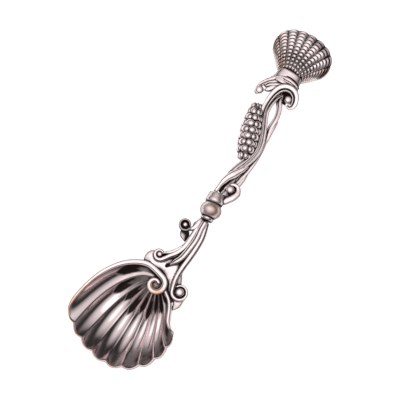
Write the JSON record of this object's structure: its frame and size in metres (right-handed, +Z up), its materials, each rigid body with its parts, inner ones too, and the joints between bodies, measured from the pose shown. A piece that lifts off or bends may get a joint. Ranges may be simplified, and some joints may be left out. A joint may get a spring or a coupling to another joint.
{
  "type": "ice cream spoon",
  "caption": "Small ornamental dessert spoon with a fluted scallop bowl, scrolled stem, turned knop, vine twist with a beaded cob and a shell finial.",
  "frame": {"origin": "middle of the small flat on which the bowl rests", "axes": "+X along the handle from the bowl towards the finial, +Z up out of the bowl, +Y to the left"},
  "size_m": [0.125, 0.0338, 0.0131],
  "materials": {
    "antique_silver": "bright pinkish cast metal with dark oxide left in the recesses",
    "rubbed_copper": "pale copper plating rubbed bright on the raised edges"
  },
  "bodies": {
    "root": {"bowl": "antique_silver", "rolled_edge": "rubbed_copper", "shoulder": "antique_silver", "stem_core": "antique_silver", "stem_left_reed": "antique_silver", "stem_right_reed": "antique_silver", "left_pearl": "antique_silver", "right_pearl": "antique_silver", "side_scroll": "antique_silver", "side_pearl": "antique_silver", "side_leaf": "antique_silver", "knop_ring": "antique_silver", "knop_bead": "rubbed_copper", "collar": "antique_silver", "collar_scroll": "antique_silver", "collar_pearl": "antique_silver", "leaf_ribbon": "antique_silver", "outer_vine": "antique_silver", "inner_vine": "antique_silver", "rear_vine": "antique_silver", "rear_reed_left": "antique_silver", "rear_reed_right": "antique_silver", "eye_reed": "antique_silver", "arch_pearl": "antique_silver", "cob": "antique_silver", "crest_leaf": "antique_silver", "crest_pearl": "antique_silver", "neck": "antique_silver", "shell_front": "antique_silver", "shell_back": "antique_silver"}
  },
  "joints": []
}
